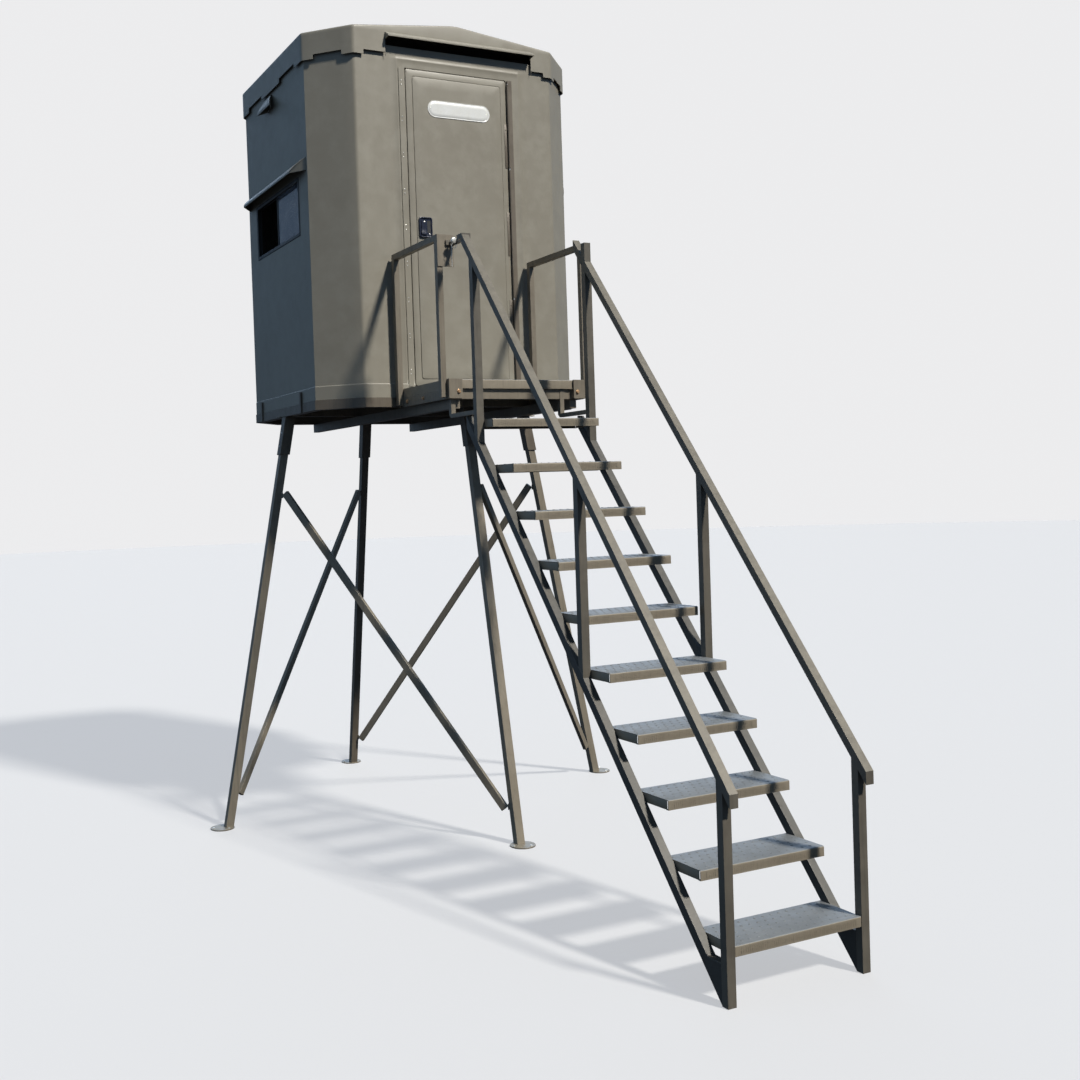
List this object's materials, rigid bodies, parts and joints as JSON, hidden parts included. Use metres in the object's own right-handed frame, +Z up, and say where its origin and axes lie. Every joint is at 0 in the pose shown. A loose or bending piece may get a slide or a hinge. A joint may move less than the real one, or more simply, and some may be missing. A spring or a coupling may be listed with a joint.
{
  "type": "elevated box blind with stairs",
  "caption": "Enclosed eight-sided hunting cabin on a braced four-legged steel tower, with a hinged door, sliding windows, a railed platform and an open-riser staircase.",
  "frame": {"origin": "on the ground, under the middle of the whole object's bounding box", "axes": "+Z up, +X to the right of someone facing the door, -Y from the cabin down the stairs"},
  "size_m": [3.3592, 5.8528, 5.56],
  "materials": {
    "moulded_shell": "khaki rotomoulded polyethylene, fine orange-peel grain",
    "painted_steel": "satin khaki powder coat",
    "floor_board": "dark sealed plywood",
    "tinted_glass": "tinted sliding window pane",
    "window_frame": "dark matt",
    "latch_black": "blue-black gloss",
    "bright_steel": "zinc-plated",
    "blank_plate": "blank off-white badge"
  },
  "bodies": {
    "root": {"base_frame": "painted_steel", "leg_left": "painted_steel", "leg_front": "painted_steel", "leg_right": "painted_steel", "leg_rear": "painted_steel", "leg_socket_left": "painted_steel", "leg_socket_front": "painted_steel", "leg_socket_right": "painted_steel", "leg_socket_rear": "painted_steel", "foot_plate_left": "painted_steel", "foot_plate_front": "painted_steel", "foot_plate_right": "painted_steel", "foot_plate_rear": "painted_steel", "brace_left": "painted_steel", "brace_front": "painted_steel", "brace_right": "painted_steel", "brace_rear": "painted_steel", "platform_frame": "painted_steel", "platform_deck": "painted_steel", "platform_rail_left": "painted_steel", "platform_rail_right": "painted_steel", "stringer_left": "painted_steel", "stringer_right": "painted_steel", "handrail_left": "painted_steel", "handrail_right": "painted_steel", "stair_tread_01": "painted_steel", "stair_tread_02": "painted_steel", "stair_tread_03": "painted_steel", "stair_tread_04": "painted_steel", "stair_tread_05": "painted_steel", "stair_tread_06": "painted_steel", "stair_tread_07": "painted_steel", "stair_tread_08": "painted_steel", "stair_tread_09": "painted_steel", "stair_tread_10": "painted_steel", "jamb_hinge": "painted_steel", "jamb_trim": "painted_steel", "wall_front_shell": "moulded_shell", "wall_rear_shell": "moulded_shell", "wall_left": "moulded_shell", "wall_right": "moulded_shell", "roof_cap": "moulded_shell", "cabin_floor": "floor_board", "door_hinge_pin": "bright_steel", "pin_chain": "bright_steel", "window_frame_left": "window_frame", "window_pane_fixed_left": "tinted_glass", "window_frame_right": "window_frame", "window_pane_fixed_right": "tinted_glass", "window_frame_rear": "window_frame", "window_pane_fixed_rear": "tinted_glass"},
    "door": {"door_panel": "moulded_shell", "latch_pan": "latch_black", "name_plate": "blank_plate"},
    "paddle": {"latch_paddle": "latch_black"},
    "bolt": {"latch_bolt": "bright_steel"},
    "slider_left": {"window_pane_sliding_left": "tinted_glass"},
    "slider_right": {"window_pane_sliding_right": "tinted_glass"},
    "slider_rear": {"window_pane_sliding_rear": "tinted_glass"},
    "pin": {"quick_pin": "bright_steel"}
  },
  "joints": [
    {"name": "door_hinge", "type": "hinge", "parent": "root", "child": "door", "pos_m": [0.405, 0.39015, 4.15], "axis": [0, 0, 1], "range_deg": [0, 88]},
    {"name": "latch_paddle_hinge", "type": "hinge", "parent": "door", "child": "paddle", "pos_m": [-0.27, 0.38665, 4.199], "axis": [-1, 0, 0], "range_deg": [0, 28], "stiffness_Nm_per_rad": 0.6},
    {"name": "latch_bolt_slide", "type": "slide", "parent": "door", "child": "bolt", "axis": [1, 0, 0], "range_m": [0, 0.014]},
    {"name": "window_slide_left", "type": "slide", "parent": "root", "child": "slider_left", "axis": [0, 1, 0], "range_m": [0, 0.438]},
    {"name": "window_slide_right", "type": "slide", "parent": "root", "child": "slider_right", "axis": [0, 1, 0], "range_m": [0, 0.438]},
    {"name": "window_slide_rear", "type": "slide", "parent": "root", "child": "slider_rear", "axis": [1, 0, 0], "range_m": [0, 0.438]},
    {"name": "quick_pin_slide", "type": "slide", "parent": "root", "child": "pin", "axis": [0, -1, 0], "range_m": [0, 0.055]}
  ],
  "couplings": [
    {"joint": "latch_bolt_slide", "follows": "latch_paddle_hinge", "m_per_rad": 0.0286}
  ]
}
